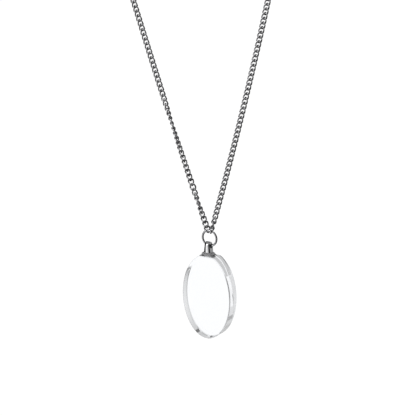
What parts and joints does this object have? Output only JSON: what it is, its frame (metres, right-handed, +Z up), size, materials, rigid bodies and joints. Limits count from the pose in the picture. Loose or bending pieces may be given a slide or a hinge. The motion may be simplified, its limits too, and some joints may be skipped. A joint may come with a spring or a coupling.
{
  "type": "crystal pendant on a chain",
  "caption": "Oval clear crystal pendant with a steel cap, hung by a jump ring from a closed curb chain that keeps its worn form.",
  "frame": {"origin": "the nape of the neck, at the middle of the clasp's front, where the closed chain rests when it is worn", "axes": "+Z up, -Y to the front, +X to the right of a person who faces the wearer"},
  "size_m": [0.0726, 0.1141, 0.1871],
  "materials": {
    "crystal": "clear optical glass, flat polished faces",
    "satin_steel": "satin-polished stainless steel",
    "polished_steel": "tumble-polished stainless steel"
  },
  "bodies": {
    "necklace": {"chain_left": "polished_steel", "chain_right": "polished_steel", "jump_ring": "polished_steel", "clasp": "polished_steel"},
    "pendant": {"crystal": "crystal", "cap": "satin_steel"}
  },
  "joints": [
    {"name": "pendant_swing", "type": "hinge", "parent": "necklace", "child": "pendant", "pos_m": [0, -0.1036, -0.15237], "axis": [0.7986, -0.6018, 0], "range_deg": [-90, 90]}
  ]
}
